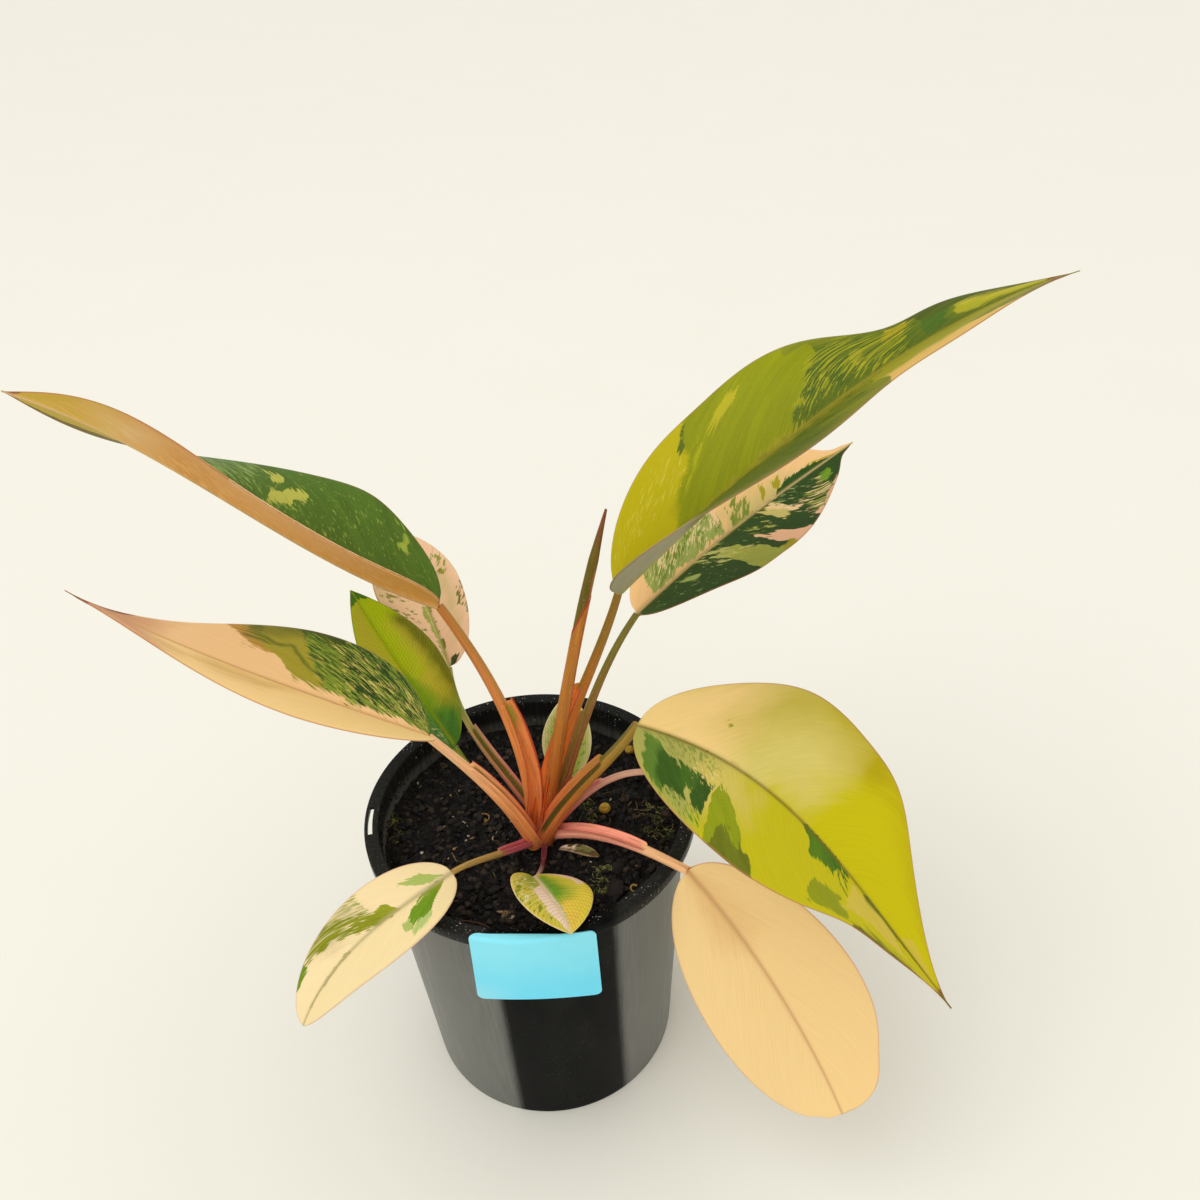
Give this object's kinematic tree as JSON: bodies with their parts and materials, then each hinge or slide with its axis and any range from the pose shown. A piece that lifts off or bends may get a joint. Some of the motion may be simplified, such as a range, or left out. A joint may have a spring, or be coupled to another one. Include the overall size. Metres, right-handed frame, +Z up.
{
  "type": "potted variegated rojo congo philodendron",
  "caption": "Young variegated rojo congo philodendron with green, yellow and cream leaves on orange petioles, in a round black nursery pot with a bare light blue label.",
  "frame": {"origin": "centre of the pot's flat foot", "axes": "+Z up, along the pot's axis; -Y towards the side with the label; +X to the right seen from that side"},
  "size_m": [0.3105, 0.1633, 0.2647],
  "materials": {
    "pot_black": "black moulded plastic with a satin sheen and faint upright streaks",
    "soil": "moist dark peat and bark crumb",
    "label_blue": "light blue satin film, bare",
    "stem": "fleshy brown stem, satin",
    "petiole": "smooth orange stalk, satin, with pink sheath edges",
    "spear": "furled leaf, satin, olive brown over orange",
    "leaf_variegated": "waxy leaf, satin, green with yellow and cream sectors",
    "leaf_green": "waxy leaf, satin, green and yellow green",
    "leaf_cream": "waxy leaf, satin, cream to peach",
    "dried_leaf": "dried brown green scale leaf, matt"
  },
  "bodies": {
    "root": {"pot": "pot_black", "soil": "soil", "label": "label_blue", "stem": "stem", "spear": "spear", "petiole_left_long": "petiole", "blade_left_long": "leaf_variegated", "petiole_left_low": "petiole", "blade_left_low": "leaf_variegated", "petiole_back_green": "petiole", "blade_back_green": "leaf_green", "petiole_back_pink": "petiole", "blade_back_pink": "leaf_cream", "petiole_right_tall": "petiole", "blade_right_tall": "leaf_variegated", "petiole_right_behind": "petiole", "blade_right_behind": "leaf_variegated", "petiole_right_front": "petiole", "blade_right_front": "leaf_variegated", "petiole_cream_low": "petiole", "blade_cream_low": "leaf_cream", "petiole_cream_small": "petiole", "blade_cream_small": "leaf_cream", "petiole_heart": "petiole", "blade_heart": "leaf_green", "petiole_back_small": "petiole", "blade_back_small": "leaf_green", "petiole_hidden": "petiole", "blade_hidden": "leaf_cream", "scale_leaf": "dried_leaf"}
  },
  "joints": []
}
